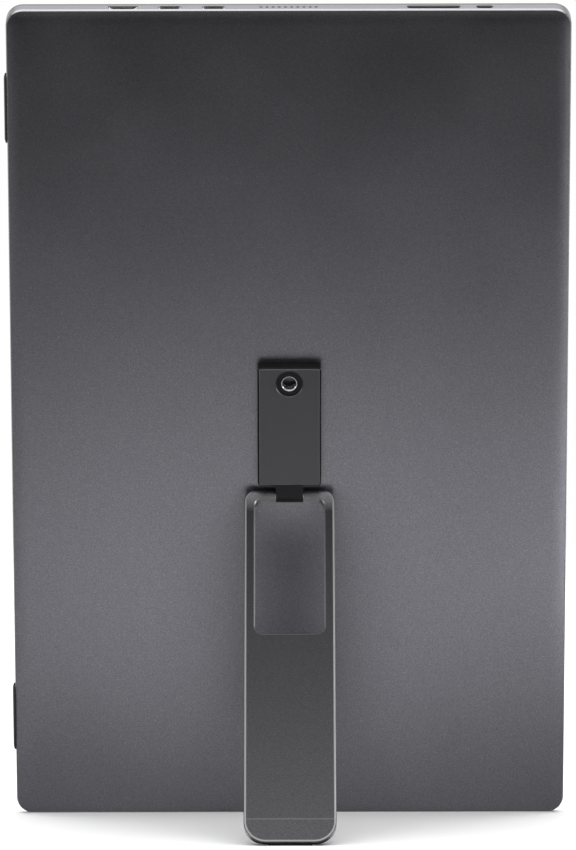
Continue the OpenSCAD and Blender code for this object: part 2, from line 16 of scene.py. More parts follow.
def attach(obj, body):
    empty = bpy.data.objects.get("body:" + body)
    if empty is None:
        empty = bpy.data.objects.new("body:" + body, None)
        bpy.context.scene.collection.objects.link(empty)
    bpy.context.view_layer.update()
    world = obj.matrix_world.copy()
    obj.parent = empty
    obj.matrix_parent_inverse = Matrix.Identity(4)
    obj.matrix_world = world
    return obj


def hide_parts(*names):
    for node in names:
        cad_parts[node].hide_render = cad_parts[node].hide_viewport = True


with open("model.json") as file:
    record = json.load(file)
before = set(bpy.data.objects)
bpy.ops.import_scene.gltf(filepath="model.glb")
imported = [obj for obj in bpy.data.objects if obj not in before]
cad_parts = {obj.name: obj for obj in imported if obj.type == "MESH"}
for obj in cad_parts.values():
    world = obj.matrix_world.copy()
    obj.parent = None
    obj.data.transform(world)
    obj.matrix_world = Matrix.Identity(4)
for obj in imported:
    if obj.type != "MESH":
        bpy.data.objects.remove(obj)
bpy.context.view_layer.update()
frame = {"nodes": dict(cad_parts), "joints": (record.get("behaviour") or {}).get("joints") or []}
nodes = frame["nodes"]
joints = {joint["name"]: joint for joint in frame["joints"]}
scene = bpy.context.scene
print("pieces in the frame:", len(nodes))

# %% [markdown]
# The monitor leans back, so flat faces are awkward to place in the frame's own axes. The swivel joint
# gives the way out: its axis is the direction that the glass faces, and its place is the middle of the
# back. From these two come three directions, across, out of the glass and up the body, and every
# measure below can be written as if the body stood upright.

# %% Axes of the leaning body
MM = 0.001
out_of_glass = np.array(joints["plate_swivel"]["axis"], float)
back_middle = np.array(joints["plate_swivel"]["pos_m"], float)
across = np.array([1.0, 0.0, 0.0])
up_body = np.cross(across, out_of_glass)
lean = math.atan2(out_of_glass[2], out_of_glass[1])
BODY_W, BODY_H, BODY_T = 230.0, 356.5, 8.2
EDGE_Y = BODY_T / 2
TOP = BODY_H / 2


def place(points):
    """Millimetres across, in from the back and up from the body's middle, as metres in the frame."""
    p = np.asarray(points, float) * MM
    return back_middle + p[..., :1] * across + p[..., 1:2] * out_of_glass + p[..., 2:3] * up_body


print("lean in degrees:", round(math.degrees(lean), 2))

# %% [markdown]
# The camera stands far off with a long lens, so the body narrows only a little towards its foot. It
# looks almost level. The body's lean and the camera's own small height add up to the angle at which
# the narrow upper edge shows.

# %% Camera
CAMERA_FAR = 3.49
FOCAL_PIXELS = 2418 * CAMERA_FAR
IMAGE_H = 850
SENSOR = 36.0
VIEW_TO_BACK = math.radians(21.36)
AIM_LEFT = 0.55 * MM
AIM_DOWN = 2.39 * MM
ROLL = math.radians(-0.11)

camera_up = VIEW_TO_BACK - lean
camera_data = bpy.data.cameras.new("camera")
camera = bpy.data.objects.new("camera", camera_data)
scene.collection.objects.link(camera)
scene.camera = camera
camera_data.sensor_width = SENSOR
camera_data.lens = FOCAL_PIXELS / IMAGE_H * SENSOR
camera_data.clip_end = 20
to_camera = np.array([0.0, -math.cos(camera_up), math.sin(camera_up)])
image_up = np.cross(across, -to_camera)
aim = back_middle - AIM_LEFT * across - AIM_DOWN * image_up
camera.location = Vector(aim + CAMERA_FAR * to_camera)
camera.rotation_euler = (Vector(-to_camera).to_track_quat("-Z", "Y") @ Quaternion((0, 0, 1), ROLL)).to_euler()
print("camera height in degrees:", round(math.degrees(camera_up), 2))

# %% [markdown]
# Every new piece here is a surface worked out as whole arrays: a grid of points that two numbers
# walk over. One helper turns such a grid into a closed mesh. The columns form rings. The rows either
# close into a tube or end in a cap, and the sign of the volume turns the faces outwards.

# %% From a grid of points to a mesh


def volume(mesh):
    """Signed volume: a sixth of the sum of a . (b x c) over the triangles, positive when the faces
    look outwards."""
    mesh.calc_loop_triangles()
    points = np.empty(len(mesh.vertices) * 3)
    mesh.vertices.foreach_get("co", points)
    picked = np.empty(len(mesh.loop_triangles) * 3, int)
    mesh.loop_triangles.foreach_get("vertices", picked)
    a, b, c = points.reshape(-1, 3)[picked.reshape(-1, 3)].transpose(1, 0, 2)
    return float(np.einsum("ij,ij->", a - back_middle, np.cross(b - back_middle, c - back_middle))) / 6


def solid(name, grid, tube=False):
    """Closed mesh from a grid (rows, columns, 3) in metres. Each row is a ring."""
    rows, columns = grid.shape[:2]
    index = np.arange(rows * columns).reshape(rows, columns)
    here = index if tube else index[:-1]
    after = np.roll(index, -1, axis=0) if tube else index[1:]
    quads = np.stack([here, np.roll(here, -1, 1), np.roll(after, -1, 1), after], -1)
    faces = quads.reshape(-1, 4).tolist()
    if not tube:
        faces += [index[0, ::-1].tolist(), index[-1].tolist()]
    mesh = bpy.data.meshes.new(name)
    mesh.from_pydata(grid.reshape(-1, 3).tolist(), [], faces)
    if volume(mesh) < 0:
        mesh.flip_normals()
    piece = bpy.data.objects.new(name, mesh)
    scene.collection.objects.link(piece)
    return piece


def joined(name, parts):
    """One object from several, by Blender's own join."""
    if len(parts) > 1:
        with bpy.context.temp_override(active_object=parts[0], selected_editable_objects=parts):
            bpy.ops.object.join()
    parts[0].name = name
    return parts[0]


def cut(piece, cutter):
    """Takes the cutter out of the piece, keeps the result as the piece's mesh and drops the cutter."""
    boolean = piece.modifiers.new("cut", "BOOLEAN")
    boolean.object = cutter
    boolean.solver = "EXACT"
    done = bpy.data.meshes.new_from_object(piece.evaluated_get(bpy.context.evaluated_depsgraph_get()))
    piece.modifiers.clear()
    piece.data = done
    bpy.data.objects.remove(cutter)


def finished(piece, body, replaced, sharp=20):
    """Smooth shading that stops at sharp edges. Then the body that the piece moves with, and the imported
    piece that it stands in for."""
    piece.data.shade_smooth()
    piece.data.set_sharp_from_angle(angle=math.radians(sharp))
    even = piece.modifiers.new("even_shading", "WEIGHTED_NORMAL")
    even.keep_sharp = True
    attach(piece, body)
    if replaced:
        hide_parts(replaced)
    print(piece.name, "faces:", len(piece.data.polygons))


# %% [markdown]
# Two kinds of path serve nearly every piece. The first is a rounded rectangle. At a corner a profile
# turns about the corner's own centre and along a straight side it only moves, so a ring of centres
# and a ring of directions are all it needs. With a corner radius of half the width, the same ring is
# a slot with round ends. The second path is a plain circle, for whatever a lathe would make.

# %% Profiles carried round a path


def rounded_ring(width, height, corner, steps):
    """Centres and unit directions along a rounded rectangle, a quarter turn of steps per corner."""
    quarter = np.radians(np.linspace(0, 90, steps))
    turn = (np.arange(4)[:, None] * math.pi / 2 + quarter).ravel()
    signs = np.repeat([[1, 1], [-1, 1], [-1, -1], [1, -1]], steps, axis=0)
    return signs * [width / 2 - corner, height / 2 - corner], np.stack([np.cos(turn), np.sin(turn)], -1)


def carried(width, height, corner, profile, lay, steps=12):
    """Grid of points: centre + direction * (corner - inset), raised by h, for a profile of pairs
    (inset, h). lay turns the three lengths (u, v, h) into across, in and up."""
    centres, ways = rounded_ring(width, height, corner, steps)
    profile = np.asarray(profile, float)
    flat = centres + ways * (corner - profile[:, 0])[:, None, None]
    rise = np.broadcast_to(profile[:, 1][:, None], flat.shape[:2])
    return place(np.stack(np.broadcast_arrays(*lay(flat[..., 0], flat[..., 1], rise)), -1))


def turned(profile, middle, axis, lathe_steps=72):
    """Grid of points: middle + h * axis + r * (cos t, sin t), for a profile of pairs (r, h) or of
    triples (r, h, d), where the radius is r + d * wave and the wave climbs once a turn."""
    side = np.array([0.0, 0.0, 1.0]) if abs(axis[0]) > 0.5 else np.array([1.0, 0.0, 0.0])
    other = np.cross(axis, side)
    profile = np.asarray([(*row, 0)[:3] for row in profile], float)
    t = np.linspace(0, 2 * math.pi, lathe_steps, endpoint=False)
    wave = np.abs(((profile[:, 1:2] / THREAD_PITCH - t / (2 * math.pi)) % 1) * 2 - 1)
    r = profile[:, :1] + profile[:, 2:] * wave
    ring = np.cos(t)[None, :, None] * side + np.sin(t)[None, :, None] * other
    return place(np.asarray(middle) + profile[:, 1][:, None, None] * axis + r[..., None] * ring)


THREAD_PITCH = 1.27
ALONG_BODY = np.array([0.0, 0.0, 1.0])
INTO_BODY = np.array([0.0, 1.0, 0.0])
ACROSS_BODY = np.array([1.0, 0.0, 0.0])


def arc(centre, radius, start, end, steps=6):
    """Pairs on a circle about a centre, from one angle in degrees to another."""
    t = np.radians(np.linspace(start, end, steps))
    return np.stack([centre[0] + radius * np.cos(t), centre[1] + radius * np.sin(t)], -1).tolist()


# %% [markdown]
# The rear cover is a shallow tray of aluminium. A press gives it the soft roll at the edge, a blast
# of fine beads greys it, and after the blasting a cutter runs round it and leaves a bright chamfer.
# In section that is a flat back, a roll that steepens towards the edge, the straight chamfer, and a
# side wall, and then the same inside. The roll follows u to the power 2.2, so that it leaves the flat
# back with no visible line. The corners of the chamfer are eased by less than a tenth of a
# millimetre, because a sharp corner in a picture shows at once that no cutter made it.

# %% Rear cover
SIDE_WALL, BACK_WALL, CORNER = 1.2, 1.2, 7.0
CUT_W, CUT_D, ROLL_W, ROLL_D = 0.5, 1.1, 6.0, 0.5
RIM_BACK = BODY_T - 1.2
SOFTEN = 0.08

u = np.linspace(0, 1, 15)
roll = np.stack([CUT_W + SOFTEN + ROLL_W * (1 - u), ROLL_D * u**2.2], -1)
section = [*roll.tolist(), (CUT_W - SOFTEN * 0.5, ROLL_D + SOFTEN), (SOFTEN * 0.5, ROLL_D + CUT_D - SOFTEN),
           (0, ROLL_D + CUT_D + SOFTEN), (0, RIM_BACK - 0.1), (0.1, RIM_BACK), (SIDE_WALL, RIM_BACK),
           *arc((SIDE_WALL + 0.6, BACK_WALL + 0.6), 0.6, 180, 270)]
rear_shell = solid("rear_shell", carried(BODY_W, BODY_H, CORNER, section, lambda u, v, h: (u, h, v), 24))

# %% [markdown]
# The sockets, the keys and the grilles need openings in the two narrow edges, the pivot needs one in
# the middle of the back, and each foot strip lies in a shallow seat. Each opening is a plug with the
# opening's outline. All plugs are joined and taken out in one cut.

# %% Openings in the rear cover
FREE_GAP = 0.3
SOCKET_Y = 3.55
VIDEO_X, VIDEO_W, VIDEO_H, VIDEO_CUT = -67.3, 11.2, 3.3, 1.1
TYPE_C_X, TYPE_C_W, TYPE_C_H = (-48.3, -30.4), 8.94, 3.26
KEY_W = 2.0
KEYS = {"volume_key": (59.0, 21.2), "power_key": (79.7, 6.3)}
GRILLE_X = (np.arange(10) - 4.5) * 2.5
GRILLE_R, SINK = 0.55, 0.3
PIVOT_HOLE_R = 4.8
STRIP_L, STRIP_W, STRIP_OUT, STRIP_SUNK, STRIP_INSET = 30.0, 4.6, 1.15, 0.4, 43.2


def edge_plug(x, y, width, depth, low, high):
    """Slot-shaped plug through a narrow edge."""
    return solid("plug", carried(width, depth, depth * 0.4999, [(0, low), (0, high)],
                                 lambda u, v, h: (u + x, v + y, h), 8))


def video_ring(wall):
    """Outline of the mini video socket: a rectangle with two cut corners on the back's side."""
    x, y = VIDEO_W / 2 - wall, VIDEO_H / 2 - wall
    return np.array([(-x, y), (x, y), (x, VIDEO_CUT - y), (x - VIDEO_CUT, -y), (VIDEO_CUT - x, -y),
                     (-x, VIDEO_CUT - y)]) + [VIDEO_X, SOCKET_Y]


low_cut, high_cut = TOP - SIDE_WALL - 0.5, TOP + 1
outline = video_ring(-FREE_GAP)
plugs = [solid("plug", place([[(*p, z) for p in outline] for z in (low_cut, high_cut)]))]
for x in TYPE_C_X:
    plugs.append(edge_plug(x, SOCKET_Y, TYPE_C_W + 2 * FREE_GAP, TYPE_C_H + 0.4, low_cut, high_cut))
for x, length in KEYS.values():
    plugs.append(edge_plug(x, EDGE_Y, length + 2 * FREE_GAP, KEY_W + 2 * FREE_GAP, low_cut, high_cut))
sunk_hole = [(GRILLE_R, low_cut), (GRILLE_R, TOP - SINK), (GRILLE_R + SINK, TOP), (GRILLE_R + SINK, high_cut)]
for x in GRILLE_X:
    for end in (-1, 1):
        profile = [(r, end * h) for r, h in sunk_hole]
        plugs.append(solid("plug", turned(profile, (x, EDGE_Y, 0), ALONG_BODY, 24)))
plugs.append(solid("plug", turned([(PIVOT_HOLE_R, -1), (PIVOT_HOLE_R, BACK_WALL + 1)], (0, 0, 0), INTO_BODY)))
for z in (TOP - STRIP_INSET, STRIP_INSET - TOP):
    plugs.append(solid("plug", carried(STRIP_W + 0.2, STRIP_L + 0.2, STRIP_W / 2, [(0, -1), (0, STRIP_SUNK)],
                                       lambda u, v, h: (h - BODY_W / 2, u + EDGE_Y, v + z), 8)))
cut(rear_shell, joined("openings", plugs))
finished(rear_shell, "panel", "rear_cover")

# %% [markdown]
# The bush in the stand plate takes a tripod screw. Its thread is a helix: the depth of the bore
# depends on the height less the angle, measured in turns, so one turn round the bore also climbs one
# pitch. A triangle wave of that number is the thread's section. The lathe helper adds it to the
# radius, and the depth fades in over the first turn, as a tap leaves it.

# %% Threaded bush
PLATE_OUT, PLATE_BACK, RECESS_D = 6.3, 0.5, 0.9
BUSH_UP, BUSH_BORE_R, BUSH_NECK_R, BUSH_FLANGE_R = 17.8, 2.55, 3.3, 4.4
BUSH_FACE = RECESS_D - 0.25 - PLATE_OUT
BUSH_FOOT = -PLATE_BACK - 0.2
BUSH_EASE, BUSH_LEAD, BUSH_FLANGE_T = 0.15, 0.45, 1
THREAD_DEPTH, THREAD_START = 0.42, 0.5

climb = np.linspace(BUSH_FACE + THREAD_START, BUSH_FOOT, 64)
fade = np.clip((climb - BUSH_FACE - THREAD_START) / THREAD_PITCH, 0, 1)
thread = [(BUSH_BORE_R, h, THREAD_DEPTH * f) for h, f in zip(climb, fade)]
bush_section = [(BUSH_NECK_R, BUSH_FACE + BUSH_EASE),
                *arc((BUSH_NECK_R - BUSH_EASE, BUSH_FACE + BUSH_EASE), BUSH_EASE, 0, -90, 4),
                (BUSH_BORE_R + BUSH_LEAD, BUSH_FACE), *thread, (BUSH_FLANGE_R, BUSH_FOOT),
                (BUSH_FLANGE_R, BUSH_FOOT - BUSH_FLANGE_T), (BUSH_NECK_R, BUSH_FOOT - BUSH_FLANGE_T)]
threaded_bush = solid("threaded_bush", turned(bush_section, (0, 0, BUSH_UP), INTO_BODY, 96), tube=True)
finished(threaded_bush, "swivel", "tripod_bush", 40)

# %% [markdown]
# Moulded keys and rubber strips have no sharp edge. A key is a slot-shaped cap: a lip that keeps it
# inside the edge, a straight neck, a rounded shoulder and a face that dips a little under the finger.
# The rocker also has the hub that turns on a post inside. A foot strip is a low dome on the same
# kind of path, with its path stood on the long side.

# %% Keys and foot strips
KEY_OUT, KEY_LIP, KEY_LIP_T = 0.5, 0.6, 0.9
rock = math.radians(joints["volume_rock"]["range_deg"][1])
KEY_ROOM = FREE_GAP + (KEYS["volume_key"][1] / 2 + KEY_LIP) * math.sin(rock)
LIP_TOP = TOP - SIDE_WALL - KEY_ROOM
SHOULDER = 0.3
AXLE_UP, AXLE_R, HUB_R = TOP - 4.6, 0.85, 1.7
HUB_BACK, HUB_FRONT = 2.3, 4.8


def key_cap(x, length):
    """Key cap: pairs of inset from the neck and height, from the lip's underside up to the face."""
    half = KEY_W / 2
    lip = -KEY_LIP / 2
    section = [(lip, LIP_TOP - KEY_LIP_T), (lip, LIP_TOP - 0.1), (lip + 0.1, LIP_TOP), (0, LIP_TOP),
               *arc((SHOULDER, TOP + KEY_OUT - SHOULDER), SHOULDER, 180, 90),
               (half * 0.6, TOP + KEY_OUT - 0.03), (half * 0.9, TOP + KEY_OUT - 0.06)]
    return solid("cap", carried(length, KEY_W, half - 0.001, section,
                                lambda u, v, h: (u + x, v + EDGE_Y, h), 14))


for key, (x, length) in KEYS.items():
    parts = [key_cap(x, length)]
    if key == "volume_key":
        hub = [(HUB_R, HUB_BACK), (HUB_R, HUB_FRONT), (AXLE_R, HUB_FRONT), (AXLE_R, HUB_BACK)]
        parts.append(solid("hub", turned(hub, (x, 0, AXLE_UP), INTO_BODY, 48), tube=True))
    finished(joined(key.replace("key", "cap"), parts), key, key, 40)

for name, z in (("foot_strip_upper", TOP - STRIP_INSET), ("foot_strip_lower", STRIP_INSET - TOP)):
    inset = np.linspace(0, 1, 12)
    dome = [(0.35 + i * (STRIP_W / 2 - 0.4), STRIP_OUT - 0.38 * (1 - i) ** 2) for i in inset]
    section = [(0, -STRIP_SUNK), *arc((0.35, STRIP_OUT - 0.38 - 0.35), 0.35, 180, 100), *dome]
    strip = solid(name.replace("foot", "rubber"), carried(STRIP_W, STRIP_L, STRIP_W / 2 - 0.001, section,
                  lambda u, v, h: (-BODY_W / 2 - h, u + EDGE_Y, v + z), 16))
    finished(strip, "panel", name, 50)

# %% [markdown]
# A socket is only convincing with its contacts. A type C tongue carries twelve contacts on each face,
# half a millimetre apart, with the ground contacts at the ends longer than the rest. The mini video
# tongue has ten on one face and nine on the other. Each contact is a thin rounded bar that lies on
# the tongue, and one loop lays them all. They ride with the body and replace nothing.

# %% Contacts in the sockets
SHELL_L, SHELL_SUNK, SHELL_FLOOR = 7.3, 0.2, 1
SOCKET_FLOOR_UP = TOP - SHELL_SUNK - SHELL_L + SHELL_FLOOR
TONGUE_END = SOCKET_FLOOR_UP - 0.5 + SHELL_L - 1.6
CONTACT_T = 0.06


def contact_row(x, y, facing, count, pitch, width, length):
    """Row of contacts on one face of a tongue. facing is 1 towards the glass and -1 towards the back."""
    row = []
    for i in range(count):
        ends = i in (0, count - 1)
        long = length * (1.12 if ends else 1)
        middle_up = TONGUE_END - 0.45 - long / 2 + (0.3 if ends else 0)
        section = [(0, -0.02), (0, CONTACT_T * 0.6), (CONTACT_T * 0.5, CONTACT_T)]
        shift = x + (i - (count - 1) / 2) * pitch
        row.append(solid("contact", carried(width, long, width * 0.45, section,
                   lambda u, v, h: (u + shift, y + facing * h, v + middle_up), 4)))
    return row


TYPE_C_TONGUE, VIDEO_TONGUE_Y = 0.35, 0.1
for number, x in enumerate(TYPE_C_X, 1):
    rows = [c for facing in (-1, 1) for c in
            contact_row(x, SOCKET_Y + facing * TYPE_C_TONGUE, facing, 12, 0.5, 0.26, 3.2)]
    finished(joined(f"type_c_contacts_{number}", rows), "panel", None)
rows = contact_row(VIDEO_X, SOCKET_Y + VIDEO_TONGUE_Y, -1, 10, 0.8, 0.4, 3.4)
rows += contact_row(VIDEO_X, SOCKET_Y + VIDEO_TONGUE_Y + 0.7, 1, 9, 0.8, 0.4, 3.4)
finished(joined("video_contacts", rows), "panel", None)

# %% [markdown]
# Behind the grille holes lies a cloth that keeps dust off the speaker. It is a plain weave: the
# height is the sine of one direction times the sine of the other, so neighbouring threads pass over
# and under each other. The hinge pin is turned steel with domed ends, which show in the leg's corners.

# %% Speaker cloth and hinge pin
CLOTH_L, CLOTH_W, CLOTH_T, WEAVE, CLOTH_GAP = 25.0, 2.4, 0.12, 0.28, 0.12


def speaker_cloth(name, end):
    """Woven strip: height = thickness * (1 + 0.5 * sin(2 pi x / weave) * sin(2 pi y / weave))."""
    x = np.linspace(-CLOTH_L / 2, CLOTH_L / 2, 360)
    y = np.linspace(-CLOTH_W / 2, CLOTH_W / 2, 36)
    over = np.sin(2 * math.pi * x[:, None] / WEAVE)
    woven = CLOTH_T * (1 + 0.5 * over * np.sin(2 * math.pi * y / WEAVE))
    flat = np.zeros_like(woven)
    rise = np.concatenate([woven, flat[:, ::-1]], 1) - CLOTH_T * 1.5
    deep = np.concatenate([y, y[::-1]])[None] + EDGE_Y
    grid = np.stack(np.broadcast_arrays(x[:, None], deep, end * (TOP - SIDE_WALL - CLOTH_GAP + rise)), -1)
    finished(solid(name, place(grid)), "panel", None, 60)


speaker_cloth("speaker_cloth_upper", 1)
speaker_cloth("speaker_cloth_lower", -1)

HINGE = (0, -3.2, -32.8)
PIN_R, PIN_HALF, PIN_DOME, PIN_TIP_R = 1.1, 16.07, 0.35, 0.02
dome = arc((PIN_R - PIN_DOME, PIN_HALF - PIN_DOME), PIN_DOME, 0, 90)
pin_section = [(PIN_TIP_R, -PIN_HALF), *[(r, -h) for r, h in dome[::-1]], *dome, (PIN_TIP_R, PIN_HALF)]
pin = solid("domed_pin", turned(pin_section, HINGE, ACROSS_BODY, 40))
finished(pin, "leg", "hinge_pin", 50)

# %% [markdown]
# A metal face shows what stands opposite it, and the back stands opposite the ground. A studio lights
# such a face with a card: a second ground that only reflections see. A pool of light lies on it, close
# to the object, and gives the back its long fade, because the high rows see the card farther out,
# where it is darker. Weaker pools beside it lift the two long edges of the back. The visible ground is
# plain pale paper under one lamp as wide as the room. Light linking keeps the two apart: the pool
# lamps light the card alone, and the room lamp all but the card. The narrow upper edge and the cut
# edges mirror four more lamps, which light nothing else. The places and powers of the pools were
# fitted to the photograph's tones: they are what matched, not what the photographer is known to have
# used.

# %% Stage and lamps
scene.view_settings.view_transform = "Standard"


class Finish:
    """A material being put together: its nodes, its links and the still coordinates of its piece."""

    def __init__(self, name):
        self.material = bpy.data.materials.new(name)
        self.material.use_nodes = True
        self.nodes, self.links = self.material.node_tree.nodes, self.material.node_tree.links
        self.nodes.clear()
        self.coords = self.nodes.new("ShaderNodeTexCoord")

    def put(self, socket, value):
        """Links a socket, or sets its value."""
        if isinstance(value, bpy.types.NodeSocket):
            self.links.new(value, socket)
        elif isinstance(value, tuple) and len(value) == 3 and len(socket.default_value) == 4:
            socket.default_value = (*value, 1)
        else:
            socket.default_value = value

    def maths(self, operation, a, b=0.0, c=0.0):
        node = self.nodes.new("ShaderNodeMath")
        node.operation = operation
        for socket, value in zip(node.inputs, (a, b, c)):
            self.put(socket, value)
        return node.outputs[0]

    def along(self, direction, source="Object"):
        """Length along a direction: the dot product of the coordinates with it, in metres."""
        node = self.nodes.new("ShaderNodeVectorMath")
        node.operation = "DOT_PRODUCT"
        self.put(node.inputs[0], self.coords.outputs[source])
        node.inputs[1].default_value = tuple(direction)
        return node.outputs["Value"]

    def beyond(self, direction, point):
        """Length along a direction, measured from a point of the body given in millimetres."""
        return self.maths("SUBTRACT", self.along(direction), float(place(point) @ direction))

    def outline(self, sideways, lengthways, half_w, half_l, corner):
        """Distance from a rounded rectangle's outline, negative inside: |max(q, 0)| +
        min(max(qx, qy), 0) - corner, where q is what lies beyond the corners' centres."""
        x = self.maths("SUBTRACT", self.maths("ABSOLUTE", sideways), (half_w - corner) * MM)
        y = self.maths("SUBTRACT", self.maths("ABSOLUTE", lengthways), (half_l - corner) * MM)
        out_x, out_y = self.maths("MAXIMUM", x, 0.0), self.maths("MAXIMUM", y, 0.0)
        inside = self.maths("MINIMUM", self.maths("MAXIMUM", x, y), 0.0)
        return self.maths("SUBTRACT", self.maths("ADD", self.radius(out_x, out_y), inside), corner * MM)

    def laid(self, stretch):
        """The body's own three lengths, across, in and up, each stretched by a number."""
        node = self.nodes.new("ShaderNodeCombineXYZ")
        for socket, way, factor in zip(node.inputs, (across, out_of_glass, up_body), stretch):
            self.put(socket, self.maths("MULTIPLY", self.along(way), factor))
        return node.outputs[0]

    def noise(self, scale, detail=2.0, at=None):
        node = self.nodes.new("ShaderNodeTexNoise")
        self.put(node.inputs["Vector"], at or self.coords.outputs["Object"])
        node.inputs["Scale"].default_value = scale
        node.inputs["Detail"].default_value = detail
        return node.outputs["Fac"]

    def between(self, value, low, high):
        """Spreads the middle of a noise, 0.3 to 0.7, over a range."""
        node = self.nodes.new("ShaderNodeMapRange")
        self.put(node.inputs["Value"], value)
        for socket, number in zip(("From Min", "From Max", "To Min", "To Max"), (0.3, 0.7, low, high)):
            node.inputs[socket].default_value = number
        return node.outputs[0]

    def blend(self, factor, first, second):
        node = self.nodes.new("ShaderNodeMix")
        node.data_type = "RGBA"
        self.put(node.inputs[0], factor)
        self.put(node.inputs[6], first)
        self.put(node.inputs[7], second)
        return node.outputs[2]

    def bump(self, height, strength, depth):
        node = self.nodes.new("ShaderNodeBump")
        node.inputs["Strength"].default_value = strength
        node.inputs["Distance"].default_value = depth
        self.put(node.inputs["Height"], height)
        return node.outputs[0]

    def band(self, value, low, high):
        """1 where a value lies between two numbers."""
        above, below = self.maths("GREATER_THAN", value, low), self.maths("LESS_THAN", value, high)
        return self.maths("MULTIPLY", above, below)

    def radius(self, a, b):
        """Length of the sloping side over two lengths at right angles."""
        squares = self.maths("ADD", self.maths("MULTIPLY", a, a), self.maths("MULTIPLY", b, b))
        return self.maths("SQRT", squares)

    def shaded(self, **inputs):
        node = self.nodes.new("ShaderNodeBsdfPrincipled")
        for socket, value in inputs.items():
            self.put(node.inputs[socket.replace("_", " ")], value)
        return node.outputs[0]

    def mixed(self, factor, first, second):
        node = self.nodes.new("ShaderNodeMixShader")
        self.put(node.inputs[0], factor)
        self.links.new(first, node.inputs[1])
        self.links.new(second, node.inputs[2])
        return node.outputs[0]

    def done(self, shader):
        output = self.nodes.new("ShaderNodeOutputMaterial")
        self.links.new(shader, output.inputs[0])
        return self.material


def rectangle(name, x_range, y_range, z):
    corners = [(x, y, z) for x, y in zip((*x_range, *x_range[::-1]), np.repeat(y_range, 2))]
    mesh = bpy.data.meshes.new(name)
    mesh.from_pydata(corners, [], [(0, 1, 2, 3)])
    piece = bpy.data.objects.new(name, mesh)
    scene.collection.objects.link(piece)
    return piece


def ground_finish():
    """Pale matt paper with a faint cloudiness."""
    f = Finish("ground_finish")
    colour = f.blend(f.noise(6, 3), (0.84, 0.84, 0.84), (0.87, 0.87, 0.87))
    return f.done(f.shaded(Base_Color=colour, Roughness=1.0, Specular_IOR_Level=0.0))


ground = rectangle("ground", (-2, 2), (-2, 2), 0.0)
ground.visible_glossy = False
card = rectangle("card", (-1.6, 1.6), (-1.6, 0.3), 0.0005)
card.visible_camera = card.visible_diffuse = card.visible_shadow = False
for sheet in (ground, card):
    sheet.data.materials.append(ground_finish())
card_only, all_but_card = bpy.data.collections.new("card_only"), bpy.data.collections.new("all_but_card")
for group, state in ((card_only, "INCLUDE"), (all_but_card, "EXCLUDE")):
    group.objects.link(card)
    group.collection_objects[0].light_linking.link_state = state


def lamp(name, at, look_at, size, power, spread, only):
    """Soft rectangular lamp at a place, turned to look at a point. only is "card" for a lamp that
    lights the card, "room" for one that lights all but the card and isn't mirrored, and "mirror"
    for one that is seen in the metal and lights nothing else."""
    data = bpy.data.lights.new(name, "AREA")
    data.shape = "RECTANGLE"
    data.size, data.size_y = size
    data.energy = power
    data.spread = math.radians(spread)
    piece = bpy.data.objects.new(name, data)
    scene.collection.objects.link(piece)
    piece.location = at
    piece.rotation_euler = (Vector(look_at) - Vector(at)).to_track_quat("-Z", "Y").to_euler()
    piece.visible_camera = False
    piece.visible_glossy = only == "mirror"
    piece.visible_diffuse = only != "mirror"
    piece.light_linking.receiver_collection = card_only if only == "card" else all_but_card


lamp("overhead_pool", (0, -0.20, 0.8), (0, -0.05, 0), (0.3, 0.3), 0.28, 60, "card")
lamp("close_pool", (0, -0.12, 0.75), (0, -0.08, 0), (0.3, 0.2), 0.23, 40, "card")
lamp("front_pool", (0, -0.30, 0.8), (0, -0.06, 0), (0.3, 0.2), 0.45, 40, "card")
lamp("right_pool", (0.55, -0.40, 0.6), (0.42, -0.27, 0), (0.2, 0.2), 1.2, 31, "card")
lamp("edge_pool", (0.24, -0.09, 0.5), (0.24, -0.09, 0), (0.1, 0.1), 0.26, 25, "card")
lamp("left_pool", (-0.55, -0.40, 0.6), (-0.40, -0.28, 0), (0.2, 0.2), 0.4, 35, "card")
lamp("far_pool", (0, -1.2, 0.6), (0, -1.2, 0), (0.8, 0.2), 0.5, 50, "card")
lamp("room_lamp", (0, 0, 2.6), (0, 0, 0), (6, 6), 300, 180, "room")
lamp("sky_lamp", (0, 0.7, 1.3), (0, 0.7, 0), (1.6, 1.5), 11, 180, "mirror")
lamp("leg_lamp", (0, -1.2, 1.6), (0, 0, 0.1), (1.2, 0.6), 2, 180, "mirror")
lamp("right_lamp", (1.2, -0.13, 0.57), (0, 0, 0.1), (0.3, 0.6), 12, 180, "mirror")
lamp("left_lamp", (-1.2, -0.13, 0.57), (0, 0, 0.1), (0.3, 0.6), 5, 180, "mirror")

world = bpy.data.worlds.new("room")
scene.world = world
world.use_nodes = True
nodes_in, links_in = world.node_tree.nodes, world.node_tree.links
nodes_in.clear()
white, dim = nodes_in.new("ShaderNodeBackground"), nodes_in.new("ShaderNodeBackground")
white.inputs[0].default_value = (1, 1, 1, 1)
dim.inputs[0].default_value = (0.10, 0.10, 0.103, 1)
path = nodes_in.new("ShaderNodeLightPath")
seen = path.outputs["Is Camera Ray"]
for other in ("Is Glossy Ray", "Is Transmission Ray"):
    either = nodes_in.new("ShaderNodeMath")
    either.operation = "MAXIMUM"
    links_in.new(seen, either.inputs[0])
    links_in.new(path.outputs[other], either.inputs[1])
    seen = either.outputs[0]
choice, world_out = nodes_in.new("ShaderNodeMixShader"), nodes_in.new("ShaderNodeOutputWorld")
links_in.new(seen, choice.inputs[0])
links_in.new(dim.outputs[0], choice.inputs[1])
links_in.new(white.outputs[0], choice.inputs[2])
links_in.new(choice.outputs[0], world_out.inputs[0])

